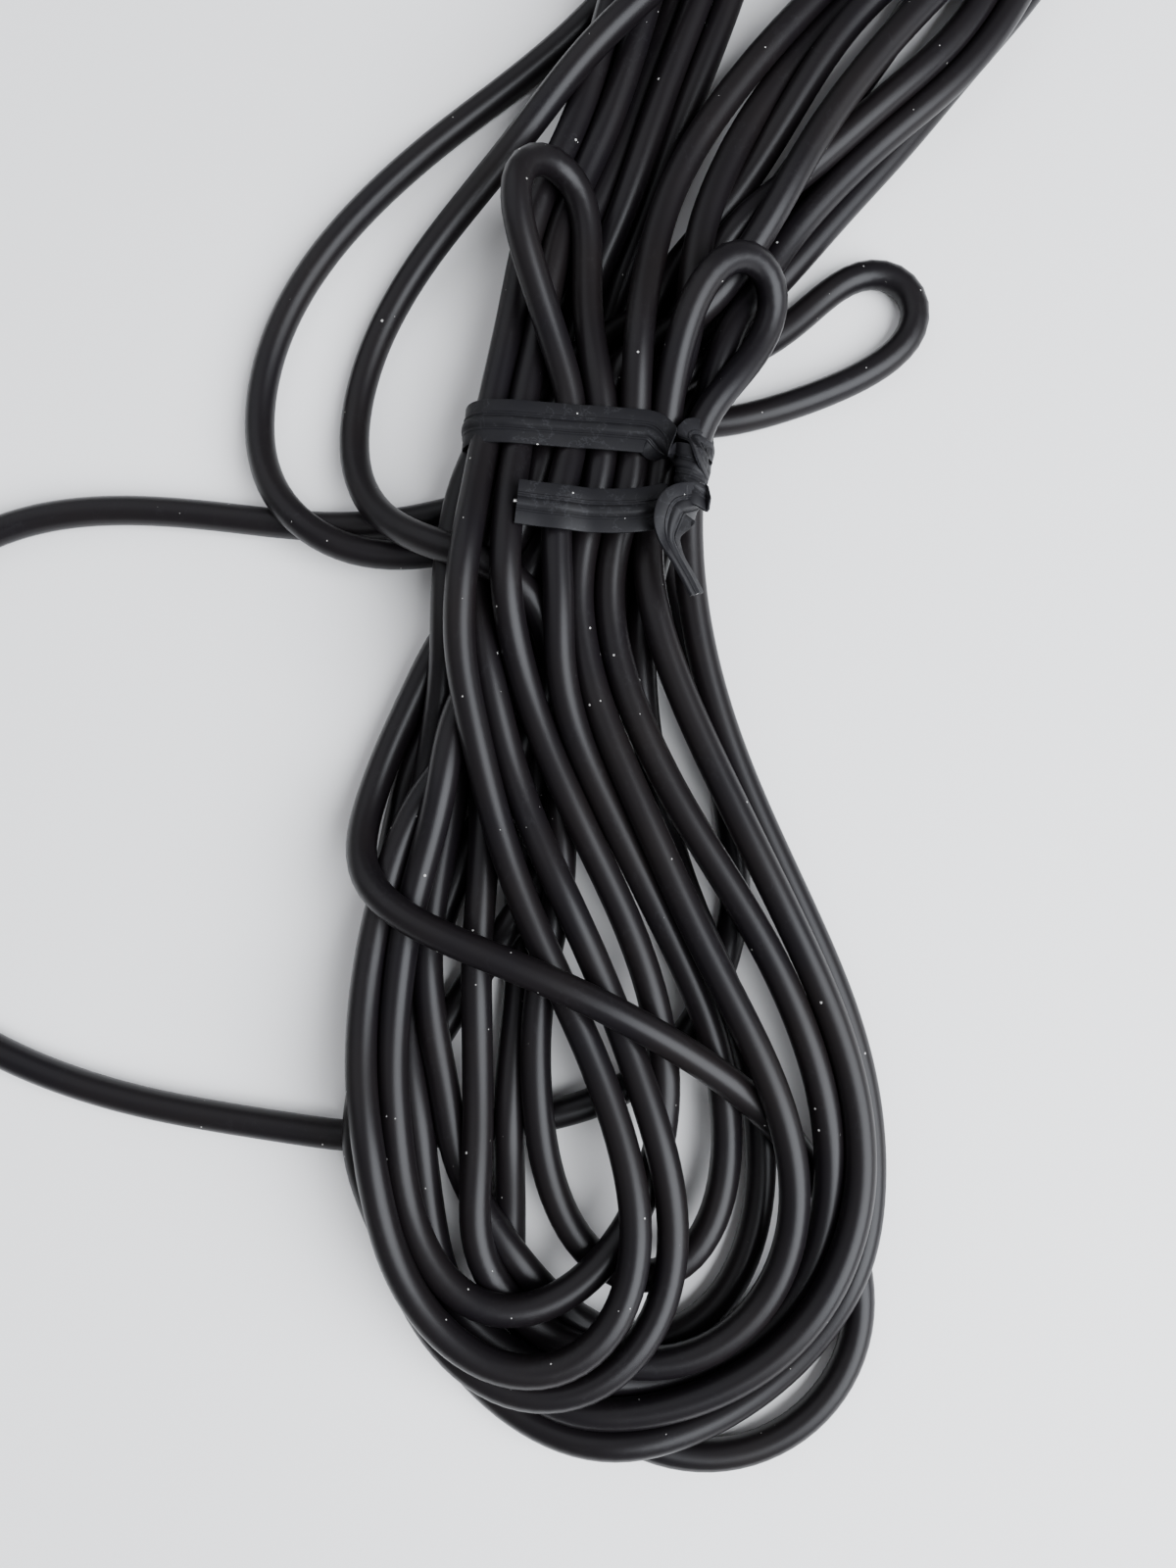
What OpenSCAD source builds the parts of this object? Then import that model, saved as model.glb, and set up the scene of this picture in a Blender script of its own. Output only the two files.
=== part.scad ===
// Instrument cable: one round cord wound into a hank, held by a flat wired twist tie,
// with a 6.35 mm mono jack plug on each end. The hank lies flat on z = 0, its long way along Y,
// and the origin is under the middle of the tie. Both plugs point towards -X.

/* [Cord] */
// Diameter of the cord's jacket
cord_d = 4; // [3.6:0.1:4.2]
// Diameter of the insulated core inside the jacket
core_d = 1.8; // [1.2:0.1:2.0]
// Diameter of the stranded conductor
wire_d = 0.7; // [0.4:0.1:0.8]

/* [Hank] */
// Width of the bundle of strands where the tie holds it
throat_w = 31; // [28:0.5:33]
// Height of the bundle of strands where the tie holds it
throat_h = 12; // [10:0.5:13]
// Height of the two lobes
lobe_h = 12; // [10:0.5:14]

/* [Twist tie] */
// Width of the flat ribbon
tie_w = 5.6; // [4.5:0.1:6]
// Thickness of the flat ribbon
tie_t = 1.1; // [1:0.05:1.2]
// Diameter of the steel wire inside the ribbon
tie_wire_d = 0.5; // [0.4:0.05:0.6]
// How far the tie is turned from square across the hank
tie_turn = -5; // [-6:1:0]

/* [Jack plug] */
// Diameter of the plug's sleeve contact
jack_d = 6.35; // [6.3:0.01:6.4]
// Diameter of the screw-on barrel
barrel_d = 14; // [13.6:0.1:15]
// Thread pitch of the barrel
pitch = 1; // [0.75:0.25:1]
// Turns of thread that hold the barrel
thread_turns = 8; // [6:1:8]
// Tip of plug A, across the hank
plug_a_x = -100; // [-110:1:-98]
// Axis of plug A, along the hank
plug_a_y = 128; // [126:1:130]
// Tip of plug B, across the hank
plug_b_x = -122; // [-130:1:-122]
// Axis of plug B, along the hank
plug_b_y = 92; // [90:1:94]

/* [Hidden] */
$fn = 48;
eps = 0.05;

cord_r = cord_d / 2;
cord_sides = 10;
axis_h = barrel_d / 2;          // height of both plugs' axes: the barrels lie on the surface
lift = tie_t + eps;             // the throat lies on the tie's underside
throat_r = 4;                   // rounding of the throat's section
throat_half = 6;                // the throat solid runs this far each way from the tie's middle

// Places along a plug, from the tip's end towards the cord.
tip_end = 8.4;
ring_end = 9.75;
flange_s = 31;
barrel_s = 33;
thread_s = barrel_s + pitch * thread_turns;
lug_s = thread_s + 1.45;
lug_end = lug_s + 7.5;
core_s = lug_end - 1;
jacket_s = core_s + 5;
clamp_s = jacket_s + 0.5;
clamp_l = 5;
liner_s = thread_s + 2.5;
flange_in_s = 66;
wall_s = flange_in_s + 2 + eps;
barrel_end = 72;
boot_end = 88;
straight_end = boot_end + 4 * cord_d;

// Radii of the plug's parts.
sleeve_r = jack_d / 2;
tip_shoulder_r = sleeve_r - 0.2;
rod_r = 1.2;
tube_r = 2;
flange_r = 5.6;
thread_r = 4.4;
thread_depth = 0.45;
cavity_r = 5.5;
neck_r = 3.4;
boot_bore_r = cord_r + 0.3;

// Routes of the cord where it lies loose, each point [across, along, height of its middle].
left_loop_route = [
    [-14, -7, 2], [-21, -9.5, 2], [-30, -10, 2], [-46, -8, 2], [-62, -7, 2], [-73, -7.5, 2],
    [-83, -11, 2], [-92, -18, 2], [-99, -29, 2], [-102, -42, 2], [-99, -56, 2], [-91, -69, 2],
    [-81, -77, 2], [-70, -82, 2], [-57, -86, 2], [-44, -88, 2], [-26, -89, 2]
];
outer_bight_route = [
    [11, 71, 6], [3, 64, 5.5], [-5, 58, 5], [-27, 40, 3], [-41, 22, 2.4], [-45, 4, 3.5],
    [-42, -6, 6], [-36, -13, 6.8], [-30, -15, 6.8], [-22, -13, 6.5], [-14, -9, 6.5]
];
inner_bight_route = [
    [13, 66, 9.5], [3, 55, 8.5], [-5, 44, 7], [-21, 26, 4], [-28, 14, 3.6], [-30, 3, 5],
    [-28, -6, 8.5], [-22, -11, 10.8], [-14, -12.5, 10.8]
];
right_bight_route = [
    [11, 7, 7], [18, 7.5, 6.7], [24, 11, 5.5], [31, 20, 3.5], [38, 25, 2.2], [43, 26, 2],
    [45.5, 22.5, 2], [43, 17, 2], [37, 12.5, 2], [28, 9, 2], [20, 6.5, 2], [12, 5.5, 2]
];
// The tails' routes start at the straight stretch behind each plug, which comes from its size.
tail_a_drop = [[10, 0, 6.4], [20, -0.5, 4.4], [31, -2, 2.6], [43, -6, 2]];
tail_b_drop = [[9, -0.5, 6.4], [17, -3.5, 4.6], [22, -9, 3], [25, -18, 2.2]];

// Outlines of the lobes: round patches [across, along, radius] that are wrapped together.
lower_patches = [[-11, -11, 4.5], [11, -11, 4.5], [3.5, -86, 34.5], [-2, -98, 28], [14, -106, 24]];
upper_patches = [[-11, 10, 4.5], [11, 10, 4.5], [32, 80, 32], [46, 97, 27]];

function unit(v) = v / norm(v);
function along(p, i) = unit(p[min(i + 1, len(p) - 1)] - p[max(i - 1, 0)]);
function side(t) = unit(cross([0, 0, 1], t));
function ring(p, i, r) = let (t = along(p, i), u = side(t), v = cross(t, u))
    [for (k = [0:cord_sides - 1]) let (a = 360 * k / cord_sides)
        p[i] + r * (cos(a) * u + sin(a) * v)];
// A smooth curve through the points, as a Catmull-Rom spline with steps places per stretch.
function blend(a, b, c, d, t) = 0.5 * (2 * b + (c - a) * t + (2 * a - 5 * b + 4 * c - d) * t * t
    + (3 * b - a - 3 * c + d) * t * t * t);
function at(p, i) = p[max(0, min(i, len(p) - 1))];
function smooth(p, steps) = concat(
    [for (i = [0:len(p) - 2], k = [0:steps - 1])
        blend(at(p, i - 1), p[i], p[i + 1], at(p, i + 2), k / steps)],
    [p[len(p) - 1]]);

// A round cord swept along a route, closed by its two end rings.
module cord(route, steps = 1) {
    p = smooth(route, steps);
    n = len(p);
    s = cord_sides;
    points = [for (i = [0:n - 1]) each ring(p, i, cord_r)];
    skin = [for (i = [0:n - 2], k = [0:s - 1]) let (m = (k + 1) % s)
        each [[i * s + k, (i + 1) * s + m, i * s + m], [i * s + k, (i + 1) * s + k, (i + 1) * s + m]]];
    start = [for (k = [0:s - 1]) k];
    finish = [for (k = [s - 1:-1:0]) (n - 1) * s + k];
    polyhedron(points, concat([start, finish], skin), convexity = 6);
}

module jacket() { color([0.03, 0.03, 0.035]) children(); }

// Flat outline with rounded corners, made of true arcs.
module rounded(w, h, r) {
    square([w, h - 2 * r], center = true);
    square([w - 2 * r, h], center = true);
    for (x = [-1, 1], y = [-1, 1])
        translate([x * (w / 2 - r), y * (h / 2 - r)]) circle(r);
}

module patches(list) {
    hull()
        for (c = list) translate([c[0], c[1]]) circle(c[2], $fn = 64);
}

module lobe(list, way) {
    jacket() linear_extrude(lobe_h) intersection() {
        patches(list);
        rotate(tie_turn) translate([0, way * (throat_half + 100)]) square(200, center = true);
    }
}

module hank_lower_lobe() { lobe(lower_patches, -1); }
module hank_upper_lobe() { lobe(upper_patches, 1); }

// Everything at the tie stands in this turned frame, its section drawn across the hank.
module across_tie(length) {
    rotate([0, 0, tie_turn]) translate([0, length / 2, lift + throat_h / 2])
        rotate([90, 0, 0]) linear_extrude(length) children();
}

module hank_throat() {
    jacket() across_tie(2 * throat_half) rounded(throat_w, throat_h, throat_r);
}

module left_loop() { jacket() cord(left_loop_route); }
module outer_bight() { jacket() cord(outer_bight_route); }
module inner_bight() { jacket() cord(inner_bight_route); }
module right_bight() { jacket() cord(right_bight_route); }

function tail_route(x, y, drop) = concat([[x + straight_end, y, axis_h]],
    [for (d = drop) [x + straight_end + d[0], y + d[1], d[2]]]);
module tail_a() { jacket() cord(tail_route(plug_a_x, plug_a_y, tail_a_drop), 2); }
module tail_b() { jacket() cord(tail_route(plug_b_x, plug_b_y, tail_b_drop), 2); }

// The wire's closed loop inside the band, as a bar of radius r.
module tie_loop(r) {
    w = throat_w + 2 * eps + tie_t;
    h = throat_h + 2 * eps + tie_t;
    c = throat_r;
    rotate([0, 0, tie_turn]) translate([0, 0, lift + throat_h / 2]) rotate([90, 0, 0]) {
        for (m = [-1, 1]) {
            translate([0, m * h / 2, 0]) rotate([0, 90, 0])
                cylinder(h = w - 2 * c, r = r, center = true);
            translate([m * w / 2, 0, 0]) rotate([90, 0, 0])
                cylinder(h = h - 2 * c, r = r, center = true);
        }
        for (q = [0:3]) rotate([0, 0, 90 * q])
            translate([(q % 2 == 0 ? w : h) / 2 - c, (q % 2 == 0 ? h : w) / 2 - c, 0])
                rotate_extrude(angle = 90) translate([c, 0]) circle(r, $fn = 24);
    }
}

// The band round the throat, the twist where its two ends wind together, and the two flat ends.
module tie_ribbon() {
    inner_w = throat_w + 2 * eps;
    inner_h = throat_h + 2 * eps;
    top = lift + throat_h + eps;
    twist_r = 2.3;
    difference() {
        color([0.05, 0.05, 0.055]) union() {
            across_tie(tie_w) difference() {
                rounded(inner_w + 2 * tie_t, inner_h + 2 * tie_t, throat_r + tie_t);
                rounded(inner_w, inner_h, throat_r);
            }
            translate([12.5, -1, top + 1]) rotate([90, 0, -8]) cylinder(h = 13.5, r = twist_r);
            translate([-9, -14, top]) cube([20, tie_w, tie_t]);
            translate([11.5, -13, top]) rotate([0, 0, -70]) cube([10, tie_w / 2, tie_t]);
        }
        tie_loop(tie_wire_d / 2 + eps / 2);
    }
}

module tie_wire() { color("silver") tie_loop(tie_wire_d / 2); }

// Plugs. Each part is turned about X and starts from the tip's end.
module turned(points) { rotate([90, 0, 90]) rotate_extrude() polygon(points); }
module at_plug(x, y) { translate([x, y, axis_h]) children(); }

module tip() {
    color([0.78, 0.76, 0.72]) turned([
        [0, 0], [0.9, 0.15], [2.95, 3.1], [3.15, 3.9], [2.95, 4.7], [2.15, 6.1], [2.15, 6.8],
        [tip_shoulder_r, 7.9], [tip_shoulder_r, tip_end], [rod_r, tip_end],
        [rod_r, lug_s + 2], [0, lug_s + 2]
    ]);
}

module tip_insulator() {
    bore = rod_r + eps;
    collar = thread_s + 0.1;
    color([0.06, 0.06, 0.06]) turned([
        [bore, tip_end + eps], [tip_shoulder_r, tip_end + eps], [tip_shoulder_r, ring_end],
        [tube_r, ring_end],
        [tube_r, collar], [3.6, collar], [3.6, lug_s - eps], [bore, lug_s - eps]
    ]);
}

module sleeve() {
    bore = tube_r + eps;
    thread = [for (i = [0:thread_turns - 1]) let (s = barrel_s + i * pitch)
        each [[thread_r, s + 0.3 * pitch], [thread_r - thread_depth, s + 0.6 * pitch],
            [thread_r - thread_depth, s + 0.7 * pitch], [thread_r, s + pitch]]];
    color([0.78, 0.76, 0.72]) turned(concat(
        [[bore, ring_end + eps], [sleeve_r, ring_end + eps], [sleeve_r, flange_s]],
        [[flange_r, flange_s], [flange_r, barrel_s], [thread_r, barrel_s]],
        thread,
        [[bore, thread_s]]));
}

module tip_lug() {
    tab_z = 1.9;
    color([0.72, 0.7, 0.64]) {
        turned([[rod_r + eps, lug_s], [2.6, lug_s], [2.6, lug_s + 0.5], [rod_r + eps, lug_s + 0.5]]);
        translate([lug_s, -1.2, tab_z]) cube([lug_end - lug_s, 2.4, 0.5]);
    }
}

module ground_clamp() {
    ring_s = thread_s + eps;
    strip_z = -4.15;
    color([0.72, 0.7, 0.64]) {
        turned([[3.65, ring_s], [4.15, ring_s], [4.15, ring_s + 0.7], [3.65, ring_s + 0.7]]);
        translate([ring_s, -1.2, strip_z]) cube([clamp_s + clamp_l - ring_s, 2.4, 0.5]);
        translate([clamp_s, -1, strip_z]) cube([clamp_l, 2, -strip_z - cord_r - 0.2]);
        translate([clamp_s, 0, 0]) turned([[cord_r + eps, 0], [cord_r + 0.55, 0],
            [cord_r + 0.55, clamp_l], [cord_r + eps, clamp_l]]);
    }
}

// A short round wire from one point to another in the plane above the axis.
module wire(from, to, r) {
    run = to - from;
    translate([from[0], 0, from[1]]) rotate([0, 90 - atan2(run[1], run[0]), 0])
        cylinder(h = norm(run), r = r);
}

module core_insulation() {
    color([0.9, 0.88, 0.82]) wire([core_s, 0], [jacket_s, 0], core_d / 2);
}
module core_wire() {
    color([0.8, 0.45, 0.25]) wire([core_s - 0.25, 0.1], [core_s - 2.6, 1.5], wire_d / 2);
}
module shield_pigtail() {
    color([0.8, 0.45, 0.25]) wire([jacket_s - 0.3, -1.4], [jacket_s - 4, -2.85], 0.45);
}
module cord_end() {
    jacket() wire([jacket_s, 0], [straight_end, 0], cord_r);
}

module liner() {
    color([0.85, 0.85, 0.82]) turned([[cavity_r - 0.5, liner_s], [cavity_r - 0.1, liner_s],
        [cavity_r - 0.1, flange_in_s - 0.1], [cavity_r - 0.5, flange_in_s - 0.1]]);
}

module boot() {
    ribs = [for (s = [barrel_end + 3:2.6:boot_end - 3]) let (r = 4.7 - (s - barrel_end) * 0.1)
        each [[r, s], [r - 0.7, s + 0.4], [r - 0.7, s + 1.2], [r, s + 1.6]]];
    color([0.08, 0.08, 0.08]) turned(concat(
        [[boot_bore_r, flange_in_s], [cavity_r - 0.1, flange_in_s], [cavity_r - 0.1, wall_s - eps]],
        [[neck_r, wall_s - eps], [neck_r, barrel_end + 0.1], [4.8, barrel_end + 0.1]],
        ribs,
        [[3.1, boot_end], [boot_bore_r, boot_end]]));
}

module barrel() {
    r = barrel_d / 2;
    color([0.7, 0.7, 0.72]) difference() {
        turned([
            [thread_r + eps, barrel_s + eps], [r - 0.6, barrel_s + eps], [r, barrel_s + 0.6],
            [r, barrel_s + 4], [r - 0.4, barrel_s + 4.4], [r - 0.4, barrel_s + 5.4], [r, barrel_s + 5.8],
            [r, 62], [r - 1.9, barrel_end - 0.6], [r - 2.4, barrel_end],
            [neck_r + eps, barrel_end], [neck_r + eps, wall_s], [cavity_r, wall_s],
            [cavity_r, thread_s + eps], [thread_r + eps, thread_s + eps]
        ]);
        // Grip flutes along the back half.
        for (a = [0:20:340]) rotate([a, 0, 0]) translate([44, 0, r + 0.35])
            rotate([0, 90, 0]) cylinder(h = 15, r = 0.8, $fn = 24);
    }
}

hank_lower_lobe();
hank_throat();
hank_upper_lobe();
left_loop();
outer_bight();
inner_bight();
right_bight();
tail_a();
tail_b();
at_plug(plug_a_x, plug_a_y) cord_end();  // cord_end_a
at_plug(plug_b_x, plug_b_y) cord_end();  // cord_end_b
tie_ribbon();
tie_wire();
at_plug(plug_a_x, plug_a_y) tip();  // tip_a
at_plug(plug_a_x, plug_a_y) tip_insulator();  // tip_insulator_a
at_plug(plug_a_x, plug_a_y) sleeve();  // sleeve_a
at_plug(plug_a_x, plug_a_y) tip_lug();  // tip_lug_a
at_plug(plug_a_x, plug_a_y) ground_clamp();  // ground_clamp_a
at_plug(plug_a_x, plug_a_y) core_insulation();  // core_insulation_a
at_plug(plug_a_x, plug_a_y) core_wire();  // core_wire_a
at_plug(plug_a_x, plug_a_y) shield_pigtail();  // shield_pigtail_a
at_plug(plug_a_x, plug_a_y) liner();  // liner_a
at_plug(plug_a_x, plug_a_y) boot();  // boot_a
at_plug(plug_a_x, plug_a_y) barrel();  // barrel_a
at_plug(plug_b_x, plug_b_y) tip();  // tip_b
at_plug(plug_b_x, plug_b_y) tip_insulator();  // tip_insulator_b
at_plug(plug_b_x, plug_b_y) sleeve();  // sleeve_b
at_plug(plug_b_x, plug_b_y) tip_lug();  // tip_lug_b
at_plug(plug_b_x, plug_b_y) ground_clamp();  // ground_clamp_b
at_plug(plug_b_x, plug_b_y) core_insulation();  // core_insulation_b
at_plug(plug_b_x, plug_b_y) core_wire();  // core_wire_b
at_plug(plug_b_x, plug_b_y) shield_pigtail();  // shield_pigtail_b
at_plug(plug_b_x, plug_b_y) liner();  // liner_b
at_plug(plug_b_x, plug_b_y) boot();  // boot_b
at_plug(plug_b_x, plug_b_y) barrel();  // barrel_b
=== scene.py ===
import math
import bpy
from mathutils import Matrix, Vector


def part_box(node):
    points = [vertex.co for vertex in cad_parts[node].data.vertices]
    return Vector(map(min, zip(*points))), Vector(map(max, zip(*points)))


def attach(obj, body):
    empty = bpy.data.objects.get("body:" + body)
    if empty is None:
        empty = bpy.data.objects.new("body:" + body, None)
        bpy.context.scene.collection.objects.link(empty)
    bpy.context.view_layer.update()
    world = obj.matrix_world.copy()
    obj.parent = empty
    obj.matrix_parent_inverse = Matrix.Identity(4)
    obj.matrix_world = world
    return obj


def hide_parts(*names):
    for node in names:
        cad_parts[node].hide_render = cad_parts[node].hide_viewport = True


bl_info = {
    "name": "Instrument cable",
    "version": (1, 0, 0),
    "blender": (4, 5, 0),
    "location": "3D View > Sidebar > Cable",
    "description": "A black instrument cable wound into a hank, held by a ribbon tie, with two jack plugs",
    "category": "Add Mesh",
}

import bmesh
import bpy
import numpy as np
from bpy.props import FloatProperty, FloatVectorProperty, IntProperty, PointerProperty
from mathutils import Matrix, Vector

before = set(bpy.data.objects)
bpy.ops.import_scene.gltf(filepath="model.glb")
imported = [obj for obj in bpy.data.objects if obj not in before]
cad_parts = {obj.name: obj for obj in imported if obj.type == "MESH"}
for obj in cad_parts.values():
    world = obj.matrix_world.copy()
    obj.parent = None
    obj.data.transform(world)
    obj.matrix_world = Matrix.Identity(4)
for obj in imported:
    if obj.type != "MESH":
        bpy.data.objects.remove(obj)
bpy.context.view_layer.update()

MM = 0.001

# The cord, and how tight a bend it takes.
CORD_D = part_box("cord_end_a")[1].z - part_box("cord_end_a")[0].z
CORD_R = CORD_D / 2
TIGHTEST = 6.2 * MM

# The waist inside the tie: how far the tie is turned, the bundle's foot, top and half width,
# and how far to each side of its middle the tie holds the strands.
TIE_TURN = math.radians(-5)
TIE_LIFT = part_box("hank_throat")[0].z
TIE_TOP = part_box("hank_throat")[1].z
THROAT_HALF = 15.5 * MM
TIE_REACH = 3.2 * MM

# The ribbon: its gap to the strands, the rounding of its corners, its twist in degrees and its wire.
RIBBON_GAP = 0.6 * MM
RIBBON_CORNER = 4 * MM + RIBBON_GAP
TWIST_TURN = 420
TWIST_WIDTH = 0.9
WIRE_R = 0.25 * MM
RIBBON_STEP = 0.4 * MM

# Settling: the straight ends that stay put, the arm over which bends are kept open, how far a step
# sinks, the steps between searches for touching strands, and the rounds of pushing in each step.
END_HELD = 0.05
BEND_ARM = 0.013
SAG = 0.03 * MM
SEARCH_EVERY = 8
ROUNDS = 6
PUSH = 0.35
PULL = 0.4

# The stage.
SENSOR = 36
AIM = Vector((0, -44 * MM, 0))
KEY_PLACE = (0.40, -0.24, 0.46)
KEY_SIZE = 0.62
FILL_PLACE = (-0.45, 0.35, 0.60)
FILL_SIZE = 0.9
ROOM_COLOUR = (0.86, 0.88, 0.92, 1)
ROOM_STRENGTH = 0.39

DUST = (0.42, 0.41, 0.39, 1)
SCUFFED = (0.05, 0.05, 0.055, 1)
SHARP_EDGE = math.radians(40)

CORD_NODES = ("hank_lower_lobe", "hank_throat", "hank_upper_lobe", "left_loop", "outer_bight",
              "inner_bight", "right_bight", "tail_a", "tail_b", "cord_end_a", "cord_end_b")


class CordSettings(bpy.types.PropertyGroup):
    colour: FloatVectorProperty(name="Jacket colour", description="Colour of the vinyl jacket",
                                subtype="COLOR", size=3, min=0, max=1, default=(0.0036, 0.0034, 0.0052))
    roughness: FloatProperty(name="Jacket roughness", description="How dull the jacket is",
                             subtype="FACTOR", min=0.05, max=1, default=0.37)
    spacing: FloatProperty(name="Point spacing",
                           description="Distance between the points of the centreline as it settles",
                           unit="LENGTH", min=0.001, max=0.004, default=0.0022)
    settle_steps: IntProperty(name="Settling steps",
                              description="Steps in which the strands settle on each other",
                              min=0, max=2000, default=360)


class TieSettings(bpy.types.PropertyGroup):
    colour: FloatVectorProperty(name="Tie colour", description="Colour of the ribbon tie",
                                subtype="COLOR", size=3, min=0, max=1, default=(0.0042, 0.0040, 0.0058))
    width: FloatProperty(name="Ribbon width", description="Width of the flat ribbon",
                         unit="LENGTH", min=0.004, max=0.007, default=0.0056)
    edge: FloatProperty(name="Ribbon thickness", description="Thickness of the ribbon beside its rib",
                        unit="LENGTH", min=0.0002, max=0.0008, default=0.00045)
    rib: FloatProperty(name="Rib thickness", description="Thickness of the ribbon over its wire",
                       unit="LENGTH", min=0.0006, max=0.0014, default=0.00105)


class PlugSettings(bpy.types.PropertyGroup):
    nickel: FloatVectorProperty(name="Contact colour", description="Colour of the plated contacts",
                                subtype="COLOR", size=3, min=0, max=1, default=(0.72, 0.69, 0.63))
    barrel: FloatVectorProperty(name="Barrel colour", description="Colour of the screw-on barrels",
                                subtype="COLOR", size=3, min=0, max=1, default=(0.50, 0.50, 0.51))
    boot: FloatVectorProperty(name="Boot colour", description="Colour of the soft boots",
                              subtype="COLOR", size=3, min=0, max=1, default=(0.02, 0.02, 0.021))


class StageSettings(bpy.types.PropertyGroup):
    floor: FloatVectorProperty(name="Floor colour", description="Colour of the floor",
                               subtype="COLOR", size=3, min=0, max=1, default=(0.90, 0.885, 0.87))
    key: FloatProperty(name="Key light", description="Power of the large soft light",
                       unit="POWER", min=0, max=100, default=16.0)
    fill: FloatProperty(name="Fill light", description="Power of the fill light",
                        unit="POWER", min=0, max=100, default=3.0)
    distance: FloatProperty(name="Camera distance", description="From the camera to what it looks at",
                            unit="LENGTH", min=0.1, max=2, default=0.17)
    tilt: FloatProperty(name="Camera tilt", description="How far the camera leans from straight down",
                        subtype="ANGLE", default=math.radians(5.1))
    spread: FloatProperty(name="Camera view", description="Tangent of half the view's long angle",
                          min=0.1, max=2, default=0.62)


class CableSettings(bpy.types.PropertyGroup):
    cord: PointerProperty(type=CordSettings)
    tie: PointerProperty(type=TieSettings)
    plug: PointerProperty(type=PlugSettings)
    stage: PointerProperty(type=StageSettings)


def settings():
    """The scene's settings for this cable."""
    return bpy.context.scene.instrument_cable


# ---------------------------------------------------------------- shader building

class Port:
    """One output of a node. Arithmetic on numbers adds Math nodes."""

    def __init__(self, graph, socket):
        self.graph = graph
        self.socket = socket

    def _math(self, operation, first, second):
        return self.graph.add("ShaderNodeMath", {"operation": operation}, {0: first, 1: second})("Value")

    def __add__(self, other):
        return self._math("ADD", self, other)

    def __sub__(self, other):
        return self._math("SUBTRACT", self, other)

    def __rsub__(self, other):
        return self._math("SUBTRACT", other, self)

    def __mul__(self, other):
        return self._math("MULTIPLY", self, other)

    def __lt__(self, other):
        return self._math("LESS_THAN", self, other)

    def __gt__(self, other):
        return self._math("GREATER_THAN", self, other)

    def __abs__(self):
        return self._math("ABSOLUTE", self, 0.0)

    __radd__ = __add__
    __rmul__ = __mul__


class Graph:
    """A material's nodes."""

    def __init__(self, name):
        self.material = bpy.data.materials.new(name)
        self.material.use_nodes = True
        self.tree = self.material.node_tree
        self.tree.nodes.clear()

    def add(self, kind, set_first=None, sockets=None):
        """Adds a node: its settings first, then the values or links of its sockets."""
        node = self.tree.nodes.new(kind)
        for name, value in (set_first or {}).items():
            setattr(node, name, value)
        for name, value in (sockets or {}).items():
            if isinstance(value, Port):
                self.tree.links.new(value.socket, node.inputs[name])
            else:
                node.inputs[name].default_value = value
        return lambda output: Port(self, node.outputs[output])

    def place(self, stretch=(1, 1, 1)):
        """The point on the object in metres, stretched along its axes."""
        where = self.add("ShaderNodeTexCoord")("Object")
        return self.add("ShaderNodeMapping", None, {"Vector": where, "Scale": stretch})("Vector")

    def noise(self, where, scale, detail=2.0, roughness=0.5):
        """A cloudy value between 0 and 1."""
        return self.add("ShaderNodeTexNoise", None, {
            "Vector": where, "Scale": scale, "Detail": detail, "Roughness": roughness})("Fac")

    def mix(self, share, first, second):
        """A colour between two others."""
        return self.add("ShaderNodeMix", {"data_type": "RGBA", "clamp_factor": True},
                        {0: share, 6: first, 7: second})(2)

    def specks(self, where, scale, size, share):
        """A mask of small dust specks: one in some of the cells of a 3D pattern."""
        cell = self.add("ShaderNodeTexVoronoi", None, {"Vector": where, "Scale": scale})
        chance = self.add("ShaderNodeSeparateColor", None, {"Color": cell("Color")})
        return (cell("Distance") < size * chance("Green")) * (chance("Red") < share)

    def hairlines(self, where, scale, width):
        """A mask of thin wandering lines, like scratches."""
        return abs(self.noise(where, scale, 4.0, 0.6) - 0.5) < width

    def surface(self, colour, roughness, height, bump, depth, **constants):
        """Ends the material in a Principled shader, with a bump of the given strength and depth."""
        sockets = {"Base Color": colour, "Roughness": roughness}
        sockets.update({name.replace("_", " "): value for name, value in constants.items()})
        sockets["Normal"] = self.add("ShaderNodeBump", None, {
            "Height": height, "Strength": bump, "Distance": depth})("Normal")
        shader = self.add("ShaderNodeBsdfPrincipled", None, sockets)("BSDF")
        self.add("ShaderNodeOutputMaterial", None, {"Surface": shader})
        return self.material


def rgba(colour):
    """The colour with full opacity."""
    return (*colour[:3], 1.0)


# ---------------------------------------------------------------- the cord's way

def top_bend(across, along, radius, height, first, last, points):
    """A strand's way over the top of the hank, from its left side to its right, in millimetres."""
    angles = np.radians(np.linspace(first, last, points))
    return [(across + radius * math.cos(a), along + radius * math.sin(a), height) for a in angles]


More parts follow.
